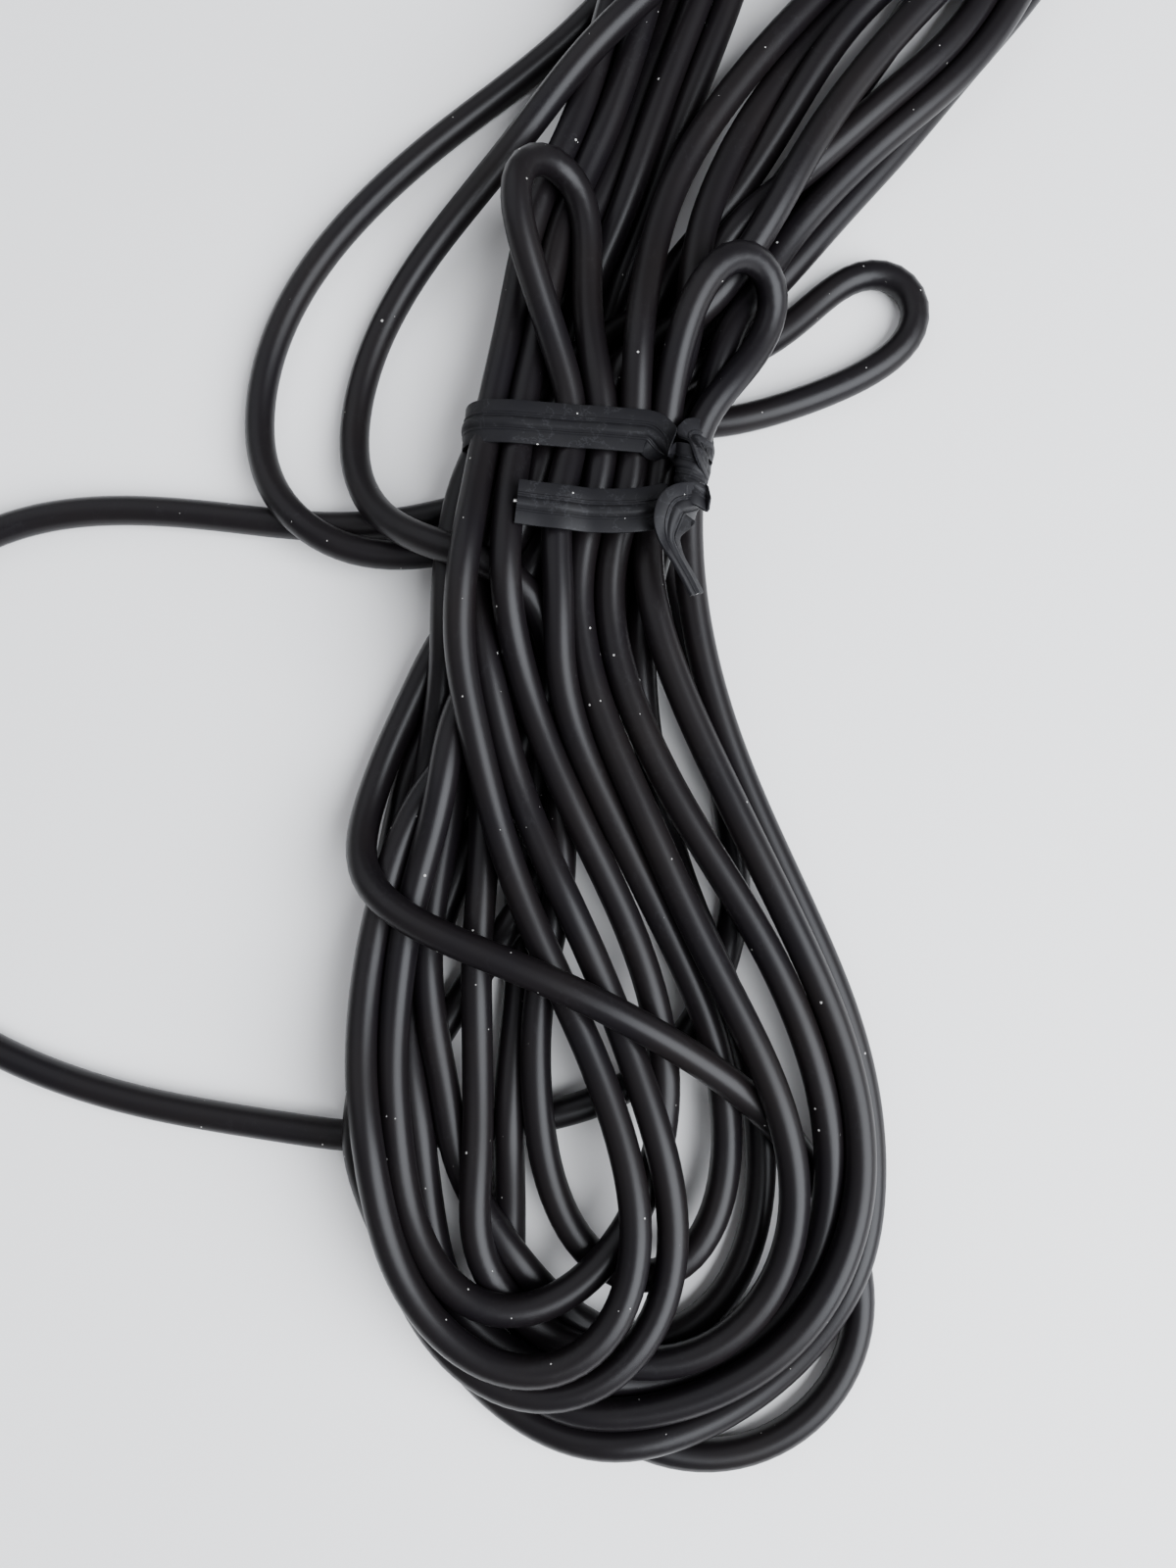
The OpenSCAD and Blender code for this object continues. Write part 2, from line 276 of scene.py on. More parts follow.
# The cord from plug A to plug B, lap by lap, in millimetres: across, along, height of its middle.
CORD_RUNS = [
    # plug A's tail: over the top of the hank and down its right side, lowest
    [(-46.05, 128, 7), (-20, 128, 7), (4, 128, 7), (14, 128, 6.4), (24, 127.5, 4.4), (35, 126, 2.6),
     (47, 122, 2), (59, 115, 2), (67, 104, 2), (69.5, 92, 2), (67, 79, 2), (60, 66, 2), (51, 55, 2.3),
     (41, 43, 3), (30, 31, 3.2), (19, 18, 3.4), (11.5, 8, 3.5), (8, 0, 3.5), (8.4, -8, 3.4)],
    # on at the bottom: left across the opening, then out and round the loose loop
    [(12, -22, 2.4), (16.5, -38, 2), (19.5, -54, 2), (17.5, -69, 2), (10.5, -80.5, 2), (1, -86, 2),
     (-10, -88.5, 2), (-26, -89, 2), (-44, -88, 2), (-57, -86, 2), (-70, -82, 2), (-81, -77, 2),
     (-91, -69, 2), (-99, -56, 2), (-102, -42, 2), (-99, -29, 2), (-92, -18, 2), (-83, -11, 2),
     (-73, -7.5, 2), (-62, -7, 2), (-46, -8, 2), (-30, -10, 2), (-21, -9.5, 2), (-14, -7, 2),
     (-7, -3.7, 3.15), (0, -0.3, 3.15), (7, 3.1, 3.1), (12, 5.5, 2)],
    # the right bight, from its lower leg round to its upper leg
    [(20, 6, 2), (29.5, 8.6, 2), (37, 12.3, 2), (43.3, 17.4, 2), (46.2, 23, 2), (43.6, 27.6, 2),
     (37.4, 26, 2.2), (31.5, 20.6, 3.2), (25.5, 14.4, 5), (19.5, 9, 6.6), (12.5, 6, 7), (5, 3, 7),
     (-2, -1.5, 7), (-8, -5.5, 6.8)],
    # the outer bight, up the left and over the top
    [(-14, -9, 6.5), (-22, -13, 6.5), (-30, -15, 6.8), (-36, -13, 6.8), (-42, -6, 6), (-45, 4, 3.5),
     (-41, 22, 2.4), (-27, 40, 3), (-5, 58, 5), (3, 64, 5.5), (11, 72, 6), (17.5, 83, 6)],
    top_bend(45, 96, 25.5, 6, 160, -20, 7),
    [(64, 74, 5), (56, 60, 5), (47, 50, 5.5), (40, 44, 6), (30, 34, 6.5), (21, 24, 7), (15, 13, 7.4),
     (12, 0, 7.4), (11.2, -8, 8)],
    # lower lap 1: down the middle, round inside the lowest bends and up the left
    [(7.6, -18, 9), (6.6, -27, 9), (8, -38, 6.4), (10, -50, 4.6), (15.5, -66, 3.2), (23, -86, 3.2),
     (22, -98, 3), (18.5, -109, 3), (11, -115.5, 4), (3, -116, 5), (-4, -111, 5.5), (-11, -103, 6),
     (-18, -92, 6), (-22, -80, 6), (-22, -66, 6), (-19, -50, 6), (-14, -34, 5.5), (-8, -20, 4.5),
     (-2, -8, 3.5), (-1, 0, 3.5), (0, 8, 4)],
    # upper lap 1, the innermost
    [(3, 22, 6), (7, 36, 7), (12, 46, 8), (18, 60, 8.5), (23, 75, 8)],
    top_bend(38.5, 88, 13.5, 8, 160, -20, 6),
    [(45, 77, 9), (38, 69, 9.5), (30, 61, 10.5), (20, 48, 11.5), (14, 41, 12), (10, 33, 12.5),
     (8, 23, 13), (6, 12, 12.4), (4.8, 0, 11.1), (2.8, -8, 11.1)],
    # lower lap 2: down the right and up the left
    [(2, -18, 11.5), (5.6, -34, 12), (12, -48.5, 12), (20, -61, 11.5), (27, -75, 11), (31, -89, 10),
     (30.5, -101, 8.5), (26, -110, 7.5), (18, -117, 7), (8, -120.5, 7), (-3, -120, 7),
     (-13, -115, 6.5), (-20, -106, 6), (-23, -92, 5.5), (-22.5, -76, 5.5), (-19, -58, 5.5),
     (-13.5, -42, 5.5), (-8, -32, 6), (-5.5, -24, 6.8), (-7.5, -16.5, 8)],
    # the inner bight, up the left and over the top
    [(-14, -13.4, 9), (-23, -13, 9.6), (-29.5, -8.5, 8.6), (-31.7, 2, 5), (-30, 14, 3.6),
     (-23.5, 27, 5), (-14, 37, 8), (-5, 46, 12), (3, 54.5, 15), (12, 63.5, 15.5), (20, 73, 14)],
    top_bend(42, 92, 18, 12, 155, -20, 6),
    [(54, 78, 9), (48, 68, 7), (41, 58, 5.5), (33, 47, 5), (24, 34, 4.6), (14, 20, 4), (6, 8, 3.6),
     (3, 0, 3.5), (-1, -8, 3.8)],
    # lower lap 3: down the left, round its narrow bend and back up on top
    [(-5, -20, 5.5), (-12, -31, 7.5), (-18.5, -40, 9.2), (-24, -50, 10.5), (-26.5, -64, 11),
     (-28, -78, 11), (-26.5, -92, 11.5), (-23.5, -102, 12.5), (-17.5, -112, 13.5), (-9, -116.5, 14),
     (-2, -116, 14.5), (4, -109, 14.5), (6.2, -98, 14), (3.5, -88, 12.5), (0, -77, 11.5),
     (-4, -69, 11.5), (-9, -58, 12), (-13, -45, 13), (-15.5, -30, 14), (-15.3, -18, 14),
     (-13.6, -8, 12)],
    # upper lap 2
    [(-12.2, 0, 11.1), (-10.8, 8, 11.5), (-8.5, 18, 11.5), (-5.5, 29, 11.5), (-2, 40, 11.5),
     (2, 57, 11.5), (7, 72, 11), (14, 86, 11)],
    top_bend(43, 95, 22.5, 11, 160, -20, 7),
    [(60, 78, 11.5), (53, 69, 12), (46, 61, 12.5), (38, 52, 13), (33, 45, 13), (27, 37, 12.6),
     (20, 27, 10.5), (12, 16, 8.4), (4, 7, 7.6), (-2, 0, 7.4), (-7, -8, 7.4)],
    # lower lap 4: down the left and back up on top, beside lap 3
    [(-10, -20, 7.5), (-15, -34, 8.6), (-20.5, -50, 9.5), (-24, -66, 9.5), (-25.2, -80, 9.5),
     (-24.6, -94, 9.5), (-20.5, -104, 9.5), (-13.5, -109.5, 9.5), (-6, -109.5, 9.5), (1, -105, 9.5),
     (6.5, -98, 9.5), (9.6, -88, 9.5), (9.6, -78, 9.5), (7, -67, 10), (3, -57, 10.5), (-3, -45, 11.5),
     (-8, -33, 12), (-10.6, -22, 12), (-10.2, -12, 11.5)],
    # upper lap 3
    [(-8, 0, 11.1), (-7.2, 10, 11.1), (-6.6, 19, 11), (-3.5, 28, 11), (0.5, 37, 11), (5, 52, 10.5),
     (8, 63, 10.5), (13, 76, 10.5)],
    top_bend(41, 93, 19.5, 10.5, 160, -20, 7),
    [(51, 74, 10.5), (43, 67, 10.5), (36, 61, 10.5), (32, 56, 10.5), (27, 49, 10.5), (22, 40, 10),
     (18, 31, 9.5), (12, 18, 8.5), (5, 8, 7.6), (2, 0, 7.4), (0.5, -8, 7.4)],
    # lower lap 5: down the middle, a narrow bend at the right and back up on top
    [(-1.2, -24, 7.4), (-3.2, -41, 8), (-5, -57, 8.5), (-6.6, -72, 8.5), (-7, -85, 8.5),
     (-4.6, -95, 8), (-0.4, -103, 7.5), (5, -108, 7.5), (11, -107, 7.5), (16, -98, 7.5),
     (18.2, -87, 8), (16.5, -76, 8.5), (9.8, -63, 10), (3.6, -50, 11.5), (-2, -38, 12),
     (-6.2, -24, 12), (-5.9, -12, 11.5)],
    # the short upright bight
    [(-4, 0, 11.1), (-4.4, 6, 12.6), (-5.4, 14, 15.8), (-6.8, 23, 18.8), (-8, 29.5, 20.4),
     (-8.2, 34, 20), (-6.4, 37.4, 17), (-4.2, 36, 13.2), (-3, 31, 11.8), (-2, 24, 12.2),
     (-0.8, 15, 12.5), (0, 6, 12), (0.2, 0, 11.1)],
    # lower lap 6: down on top, round the bottom and up inside
    [(-1.6, -12, 11.5), (-1.9, -24, 12), (2.2, -38, 12.5), (8.2, -52, 12.5), (14.6, -66, 12.5),
     (21, -78, 12.5), (25.2, -90, 12), (25.6, -100, 10.5), (21.5, -110, 9.5), (13, -116.5, 9),
     (4, -118, 8.5), (-5, -115, 8), (-11, -107, 8), (-13.4, -96, 8), (-14.2, -84, 8), (-13.6, -70, 8),
     (-12.4, -54, 8), (-11, -38, 7.5), (-9, -20, 5), (-5.5, -8, 3.6)],
    # upper lap 4
    [(-5, 0, 3.5), (-3.5, 10, 4), (0, 24, 6), (7, 38, 8), (11, 52, 9), (14, 61, 9.5), (20, 76, 9.5)],
    top_bend(40, 90, 16, 9.5, 160, -20, 6),
    [(48, 76, 9.5), (41, 68, 9.5), (34, 60, 9.5), (29, 54, 10), (24, 46, 10.5), (19, 37, 11),
     (15.5, 28, 11), (12.5, 20, 10.5), (10, 11, 9), (7, 4, 7.8), (5.8, 0, 7.4), (5, -9, 7.2)],
    # lower lap 7: down the left, lowest, and back up on top at the right
    [(3.6, -22, 6.8), (1.8, -38, 6), (-3.5, -54, 5), (-15, -70, 3.6), (-24.5, -86, 3),
     (-23, -100, 3.5), (-18, -111, 4), (-9, -119, 5), (2, -122, 7), (14, -120.5, 8), (24, -115.5, 9),
     (30.5, -106, 9.5), (33.4, -95, 10), (32.5, -81, 10.5), (27.4, -67, 11.5), (21, -53, 12),
     (14.9, -40, 12), (10.2, -28, 12), (8, -17, 12), (7.5, -8, 11.2)],
    # the short right bight
    [(8.9, 0, 11.1), (10, 7, 13), (12.4, 13.5, 15.6), (15.6, 19, 18), (19.2, 22.8, 18.8),
     (23, 23.8, 17), (25, 21.4, 13.6), (23.6, 17, 11.2), (20, 13, 10.8), (16.8, 9.4, 11.2),
     (14.6, 5, 11.3), (13, 0, 11.1), (13.2, -8, 11)],
    # lower lap 8: down the right edge, round the bottom and up the left edge
    [(13.3, -20, 10.5), (17.6, -38, 9), (24.8, -55, 8), (33, -74, 7), (36.2, -89, 6.5),
     (34.5, -103, 6), (29, -114.5, 5.8), (19, -123, 5.8), (6, -127.2, 5.8), (-5, -126, 5.4),
     (-14, -119.5, 4), (-20.5, -110, 3), (-25.5, -98, 2.5), (-27.2, -83, 2.5), (-26.4, -66, 2.8),
     (-23.8, -50, 3), (-20, -34, 3), (-15.5, -20, 3), (-13.4, -8, 3.4)],
    # upper lap 5
    [(-12.6, 0, 3.5), (-10.5, 10, 3.3), (-6, 26, 3), (-1, 42, 3), (5, 58, 3), (10, 73, 3)],
    top_bend(46, 93, 23.5, 3, 165, -15, 7),
    [(62, 74, 3), (53, 62, 3.5), (44, 51, 4), (34, 39, 4.6), (22, 26, 5.5), (10, 14, 6.6),
     (-3, 5, 7.2), (-8.6, 0, 7.4), (-10.6, -8, 7.6)],
    # lower lap 9: down on top, round the bottom and up the left
    [(-12.5, -18, 9), (-13.8, -30, 9.6), (-12, -40, 10.2), (-7, -50, 10.8), (-1.5, -62, 11),
     (4, -75, 11), (8, -87, 11.5), (10.8, -99, 11.5), (9, -110, 11.5), (2, -118, 11.5),
     (-6, -120.5, 11.5), (-14, -117.5, 11), (-20.5, -111, 10), (-24.4, -101, 8), (-27, -88, 6.5),
     (-27, -74, 6.5), (-24.6, -58, 6.5), (-20.5, -43, 6.5), (-17, -32, 6.8), (-14.5, -18, 7.2),
     (-13.6, -8, 7.4)],
    # upper lap 6
    [(-13, 0, 7.4), (-10.5, 10, 7.4), (-5.5, 22, 7.4), (0.5, 33, 7.4), (7, 48, 7.4), (10.5, 60, 7.4),
     (15, 74, 7.4)],
    top_bend(46, 96, 24, 7.6, 165, -15, 7),
    [(64, 80, 7.6), (57, 68, 8), (54, 61, 8.6), (45, 51, 9.4), (35, 44, 10), (27, 34, 9.5),
     (17, 22, 8.2), (8, 12, 7.6), (-1, 5, 7.4), (-5.8, 0, 7.4), (-10, -8, 7)],
    # lower lap 10: out to the left, across the lower lobe and round the lowest bend
    [(-14, -17, 6), (-17.5, -27, 5), (-21, -37, 4.5), (-26, -43, 5), (-29, -50, 7), (-28, -57.5, 10),
     (-22, -62, 13.5), (-12, -66, 15.5), (-2, -70.5, 16), (7, -75, 15.2), (13, -79, 13),
     (18, -83, 9.5), (24, -89, 5.6), (31, -98, 3), (35, -107, 2), (34, -117, 2), (27, -126, 2),
     (15, -130, 2), (4, -127, 2), (-4, -121.5, 2.4), (-10, -113, 3), (-11, -102, 4.5),
     (-10.6, -90, 5.6), (-9.4, -74, 5), (-8.4, -56, 4), (-8.2, -38, 3.4), (-9.5, -20, 3.2),
     (-9.4, -8, 3.4)],
    # up to plug B
    [(-9, 0, 3.5), (-7, 12, 3.2), (-3.5, 26, 3), (1, 42, 2.4), (5, 58, 2.2), (7.2, 70, 2.2),
     (6.5, 78, 2.4), (3, 85.5, 3.2), (-3, 90, 5), (-9, 91.5, 6.4), (-18, 92, 7), (-40, 92, 7),
     (-68.05, 92, 7)],
]


def smooth_curve(points, steps=12):
    """A centripetal Catmull-Rom curve through the points."""
    points = np.asarray(points, float)
    ends = np.vstack([2 * points[0] - points[1], points, 2 * points[-1] - points[-2]])
    stretches = []
    for a, b, c, d in zip(ends, ends[1:], ends[2:], ends[3:]):
        ta = 0.0
        tb = ta + math.dist(a, b) ** 0.5
        tc = tb + math.dist(b, c) ** 0.5
        td = tc + math.dist(c, d) ** 0.5
        t = np.linspace(tb, tc, steps, endpoint=False)[:, None]
        ab = (tb - t) / (tb - ta) * a + (t - ta) / (tb - ta) * b
        bc = (tc - t) / (tc - tb) * b + (t - tb) / (tc - tb) * c
        cd = (td - t) / (td - tc) * c + (t - tc) / (td - tc) * d
        abc = (tc - t) / (tc - ta) * ab + (t - ta) / (tc - ta) * bc
        bcd = (td - t) / (td - tb) * bc + (t - tb) / (td - tb) * cd
        stretches.append((tc - t) / (tc - tb) * abc + (t - tb) / (tc - tb) * bcd)
    return np.vstack(stretches + [points[-1:]])


def evenly(points, spacing):
    """The same curve with points a fixed distance apart."""
    gone = np.r_[0, np.cumsum(np.linalg.norm(np.diff(points, axis=0), axis=1))]
    places = np.linspace(0, gone[-1], int(round(gone[-1] / spacing)) + 1)
    return np.column_stack([np.interp(places, gone, points[:, k]) for k in range(3)])


def near_pairs(points, reach, apart):
    """Pairs of points nearer than reach and more than apart places along the cord."""
    cell = np.floor(points / reach).astype(np.int64)
    cell -= cell.min(0) - 1
    rows, layers = cell[:, 1].max() + 2, cell[:, 2].max() + 2
    key = (cell[:, 0] * rows + cell[:, 1]) * layers + cell[:, 2]
    order = np.argsort(key, kind="stable")
    ordered = key[order]
    firsts, seconds = [], []
    for dx, dy, dz in ((x, y, z) for x in (-1, 0, 1) for y in (-1, 0, 1) for z in (-1, 0, 1)):
        wanted = key + (dx * rows + dy) * layers + dz
        low = np.searchsorted(ordered, wanted, "left")
        count = np.searchsorted(ordered, wanted, "right") - low
        for place in range(count.max()):
            first = np.nonzero(count > place)[0]
            second = order[low[first] + place]
            keep = second - first > apart
            keep &= np.linalg.norm(points[first] - points[second], axis=1) < reach
            firsts.append(first[keep])
            seconds.append(second[keep])
    return np.concatenate(firsts), np.concatenate(seconds)


def hold_in_tie(points):
    """Keeps the strands inside the tie's closed band."""
    turn_c, turn_s = math.cos(TIE_TURN), math.sin(TIE_TURN)
    across = turn_c * points[:, 0] + turn_s * points[:, 1]
    along = turn_c * points[:, 1] - turn_s * points[:, 0]
    inside = (abs(along) < TIE_REACH) & (abs(across) < 2 * THROAT_HALF)
    held = np.clip(across[inside], CORD_R - THROAT_HALF, THROAT_HALF - CORD_R)
    points[inside, 0] = turn_c * held - turn_s * along[inside]
    points[inside, 1] = turn_s * held + turn_c * along[inside]
    points[inside, 2] = np.clip(points[inside, 2], TIE_LIFT + CORD_R, TIE_TOP - CORD_R)


def keep_bends(points, arm, chord):
    """Opens any bend tighter than the cord takes: its ends an arm apart stay a chord apart."""
    run = points[arm:] - points[:-arm]
    size = np.linalg.norm(run, axis=1)
    tight = np.nonzero(size < chord)[0]
    push = run[tight] * (0.25 * (chord - size[tight]) / size[tight])[:, None]
    points[tight] -= push
    points[tight + arm] += push


def settle(points, steps):
    """Lets the strands settle: they push each other apart, keep their length and stiffness,
    come down onto each other and the surface, and stay in the tie."""
    drawn = points.copy()
    rest = np.linalg.norm(np.diff(points, axis=0), axis=1)
    fixed = int(END_HELD / rest.mean())
    arm = int(round(BEND_ARM / rest.mean()))
    chord = 2 * TIGHTEST * math.sin(arm * rest.mean() / (2 * TIGHTEST))
    for step in range(steps):
        if step % SEARCH_EVERY == 0:
            first, second = near_pairs(points, 1.4 * CORD_D, int(1.5 * CORD_D / rest.mean()) + 3)
        left = 1 - step / steps
        hold = 0.008 + 0.04 * left
        points[:, 2] -= SAG
        points += hold * (drawn - points)
        for reach, stiffness in ((1, 0.5), (3, 0.06)):
            near = points[reach:-3 * reach] + points[3 * reach:-reach]
            far = points[:-4 * reach] + points[4 * reach:]
            middle = points[2 * reach:-2 * reach]
            middle += stiffness * ((4 * near - far) / 6 - middle)
        for _ in range(ROUNDS):
            gap = points[second] - points[first]
            size = np.linalg.norm(gap, axis=1)
            close = size < CORD_D
            push = gap[close] * (PUSH * (CORD_D - size[close]) / size[close])[:, None]
            np.add.at(points, first[close], -push)
            np.add.at(points, second[close], push)
            keep_bends(points, arm, chord)
            run = np.diff(points, axis=0)
            size = np.linalg.norm(run, axis=1)
            pull = run * (PULL * (size - rest) / size)[:, None]
            points[:-1] += pull
            points[1:] -= pull
            points[:, 2] = np.maximum(points[:, 2], CORD_R)
            hold_in_tie(points)
            points[:fixed] = drawn[:fixed]
            points[-fixed:] = drawn[-fixed:]
    return points


def cord_route(spacing, steps):
    """The whole cord's centreline as it lies, in metres."""
    drawn = smooth_curve([point for run in CORD_RUNS for point in run]) * MM
    route = settle(evenly(drawn, spacing), steps)
    for _ in range(6):
        route[1:-1] = (route[:-2] + 2 * route[1:-1] + route[2:]) / 4
    return evenly(smooth_curve(route, 3), 0.75 * spacing)


# ---------------------------------------------------------------- finishes

def jacket_vinyl():
    """Black cord vinyl: satin gloss, faint clouding and hairline scuffs, and a little pale dust."""
    look = settings().cord
    g = Graph("jacket_vinyl")
    where = g.place()
    cloud = g.noise(where, 70, 3.0)
    grain = g.noise(where, 2600, 2.0)
    scuff = g.hairlines(where, 260, 0.006) * (g.noise(where, 90, 2.0) > 0.52)
    dust = g.specks(where, 320, 0.055, 0.5)
    fluff = g.specks(where, 640, 0.07, 0.22)
    tone = g.mix(cloud, rgba(look.colour), (0.0075, 0.0055, 0.005, 1))
    tone = g.mix(scuff * 0.05, tone, SCUFFED)
    tone = g.mix(dust + fluff, tone, DUST)
    rough = cloud * 0.12 + look.roughness - 0.06 + scuff * 0.05 + dust * 0.4
    height = cloud * 0.6 + grain * 0.10 + dust * 0.5
    return g.surface(tone, rough, height, 0.22, 0.15 * MM, Specular_IOR_Level=0.2)


def tie_vinyl():
    """Duller black vinyl of the ribbon tie, with creases of wear and dust."""
    look = settings().tie
    g = Graph("tie_vinyl")
    where = g.place()
    cloud = g.noise(where, 240, 4.0)
    grain = g.noise(where, 3600, 2.0)
    scuff = g.hairlines(where, 420, 0.012) * (cloud > 0.5)
    dust = g.specks(where, 460, 0.08, 0.5)
    tone = g.mix(cloud, rgba(look.colour), (0.011, 0.0105, 0.011, 1))
    tone = g.mix(scuff * 0.2, tone, SCUFFED)
    tone = g.mix(dust, tone, (0.45, 0.44, 0.42, 1))
    height = cloud * 0.5 + grain * 0.3
    return g.surface(tone, cloud * 0.16 + 0.42, height, 0.3, 0.08 * MM, Specular_IOR_Level=0.17)


def tie_steel():
    """The bright steel wire in the ribbon."""
    g = Graph("tie_steel")
    cloud = g.noise(g.place(), 900, 3.0)
    return g.surface((0.55, 0.54, 0.52, 1), cloud * 0.25 + 0.25, cloud, 0.2, 0.02 * MM, Metallic=1.0)


def plated(name, colour, rough, wear):
    """Nickel plate over turned brass: fine turning rings round the plug's axis and handling marks."""
    g = Graph(name)
    where = g.place()
    rings = g.noise(g.place((1, 0.02, 0.02)), 2600, 2.0)
    cloud = g.noise(where, 160, 4.0)
    marks = g.hairlines(where, 330, 0.01) * (cloud > 0.48)
    dull = tuple(0.62 * c for c in colour[:3]) + (1.0,)
    tone = g.mix(cloud * 0.5 + marks * wear, rgba(colour), dull)
    dulled = cloud * 0.12 + rings * 0.08 + marks * 0.18 + rough
    height = rings * 0.5 + cloud * 0.3 + marks
    return g.surface(tone, dulled, height, 0.25, 0.02 * MM, Metallic=1.0)


def moulded(name, colour, rough):
    """A moulded plastic with a fine grain and slight clouding."""
    g = Graph(name)
    where = g.place()
    cloud = g.noise(where, 180, 3.0)
    fine = g.noise(where, 1800, 2.0)
    lighter = tuple(min(1.0, 1.25 * c + 0.004) for c in colour[:3]) + (1.0,)
    tone = g.mix(cloud * 0.3, rgba(colour), lighter)
    return g.surface(tone, cloud * 0.15 + rough, fine + cloud * 0.4, 0.2, 0.03 * MM)


def boot_vinyl():
    """Soft matt vinyl with a fine grain and pale dust in it."""
    g = Graph("boot_vinyl")
    where = g.place()
    cloud = g.noise(where, 220, 4.0)
    fine = g.noise(where, 2400, 3.0)
    dust = g.specks(where, 460, 0.07, 0.3)
    tone = g.mix(cloud * 0.5, rgba(settings().plug.boot), (0.04, 0.039, 0.038, 1))
    tone = g.mix(dust, tone, (0.4, 0.39, 0.37, 1))
    return g.surface(tone, cloud * 0.18 + 0.5, fine + cloud * 0.5, 0.35, 0.05 * MM)


def bare_copper():
    """Twisted bright strands, as ridges that wind round the wire."""
    g = Graph("bare_copper")
    where = g.place()
    lay = g.add("ShaderNodeTexWave", {"bands_direction": "DIAGONAL"},
                {"Vector": where, "Scale": 900.0, "Distortion": 0.6})("Fac")
    cloud = g.noise(where, 700, 3.0)
    tone = g.mix(cloud, (0.78, 0.42, 0.26, 1), (0.55, 0.25, 0.14, 1))
    return g.surface(tone, cloud * 0.2 + 0.22, lay, 0.6, 0.06 * MM, Metallic=1.0)


def floor_paint():
    """Pale matt paint."""
    g = Graph("floor_paint")
    fine = g.noise(g.place(), 900, 2.0)
    return g.surface(rgba(settings().stage.floor), 0.9 + fine * 0.05, fine, 0.05, 0.05 * MM)


# ---------------------------------------------------------------- making pieces

def add_object(name, data, material):
    """Puts a mesh or curve in the scene with its one material."""
    piece = bpy.data.objects.new(name, data)
    bpy.context.scene.collection.objects.link(piece)
    data.materials.append(material)
    return piece


def round_curve(name, points, radius, material, corners):
    """A round bar along the points, as one open spline with closed ends."""
    curve = bpy.data.curves.new(name, "CURVE")
    curve.dimensions = "3D"
    curve.bevel_depth = radius
    curve.bevel_resolution = (corners - 4) // 2
    curve.use_fill_caps = True
    spline = curve.splines.new("POLY")
    spline.points.add(len(points) - 1)
    spline.points.foreach_set("co", np.column_stack([points, np.ones(len(points))]).ravel())
    spline.use_smooth = True
    return add_object(name, curve, material)


def finish_mesh(bm, name, material):
    """Makes an object of the bmesh: closed seams, outward normals, smooth apart from its sharp edges."""
    bmesh.ops.remove_doubles(bm, verts=bm.verts, dist=0.001 * MM)
    bmesh.ops.recalc_face_normals(bm, faces=bm.faces)
    for face in bm.faces:
        face.smooth = True
    for edge in bm.edges:
        edge.smooth = len(edge.link_faces) == 2 and edge.calc_face_angle() < SHARP_EDGE
    mesh = bpy.data.meshes.new(name)
    bm.to_mesh(mesh)
    bm.free()
    return add_object(name, mesh, material)


def sweep(bm, outline, frames):
    """Extrudes a closed outline, drawn in a frame's Y and Z, from each frame to the next."""
    verts = [bm.verts.new(frames[0] @ Vector((0, u, v))) for u, v in outline]
    edges = [bm.edges.new(pair) for pair in zip(verts, verts[1:] + verts[:1])]
    bmesh.ops.contextual_create(bm, geom=edges)
    for here, there in zip(frames, frames[1:]):
        made = bmesh.ops.extrude_edge_only(bm, edges=edges)["geom"]
        edges = [item for item in made if isinstance(item, bmesh.types.BMEdge)]
        moved = [item for item in made if isinstance(item, bmesh.types.BMVert)]
        bmesh.ops.transform(bm, matrix=there @ here.inverted(), verts=moved)
    bmesh.ops.contextual_create(bm, geom=edges)


# ---------------------------------------------------------------- the tie

def surface_under(cord, x, y, reach):
    """The height of the strands' tops near a place."""
    near = np.hypot(cord[:, 0] - x, cord[:, 1] - y) < reach
    return cord[near, 2].max() + CORD_R if near.any() else 0.0


def band_stations(cord):
    """The ribbon's way round the waist: from its top right over the strands, down and back up.
    A station is a place, the way the ribbon faces and its share of the full width."""
    half_w = THROAT_HALF + RIBBON_GAP - RIBBON_CORNER
    half_h = (TIE_TOP - TIE_LIFT) / 2 + RIBBON_GAP - RIBBON_CORNER
    middle = (TIE_TOP + TIE_LIFT) / 2
    turn = Matrix.Rotation(TIE_TURN, 3, "Z")
    stations = []
    places = [turn @ Vector((share * half_w, 0, 0)) for share in np.linspace(0.7, -1, 14)[:-1]]
    tops = [max(surface_under(cord, place.x, place.y, 3 * MM), TIE_TOP - 0.8 * MM) for place in places]
    tops = np.convolve(np.pad(tops, 3, "edge"), np.ones(7) / 7, "valid")
    for place, top in zip(places, tops):
        stations.append((Vector((place.x, place.y, top + RIBBON_GAP)), Vector((0, 0, 1)), 1.0))
    for start, sx, sz in ((90, -1, 1), (180, -1, -1), (270, 1, -1), (0, 1, 1)):
        for angle in np.radians(np.linspace(start, start + 90, 5)):
            out = Vector((math.cos(angle), 0, math.sin(angle)))
            place = Vector((sx * half_w, 0, middle + sz * half_h)) + RIBBON_CORNER * out
            stations.append((turn @ place, turn @ out, 1.0))
    return stations[:-1]


def twist_stations(phase, axis_x, first_y, last_y, height, radius):
    """One of the two ribbon ends as they wind round each other along Y, from first_y to last_y."""
    stations = []
    for share in np.linspace(0, 1, 19):
        angle = math.radians(phase + TWIST_TURN * share)
        out = Vector((math.cos(angle), 0, math.sin(angle)))
        place = Vector((axis_x, first_y + share * (last_y - first_y), height)) + radius * out
        stations.append((place, out, TWIST_WIDTH))
    return stations


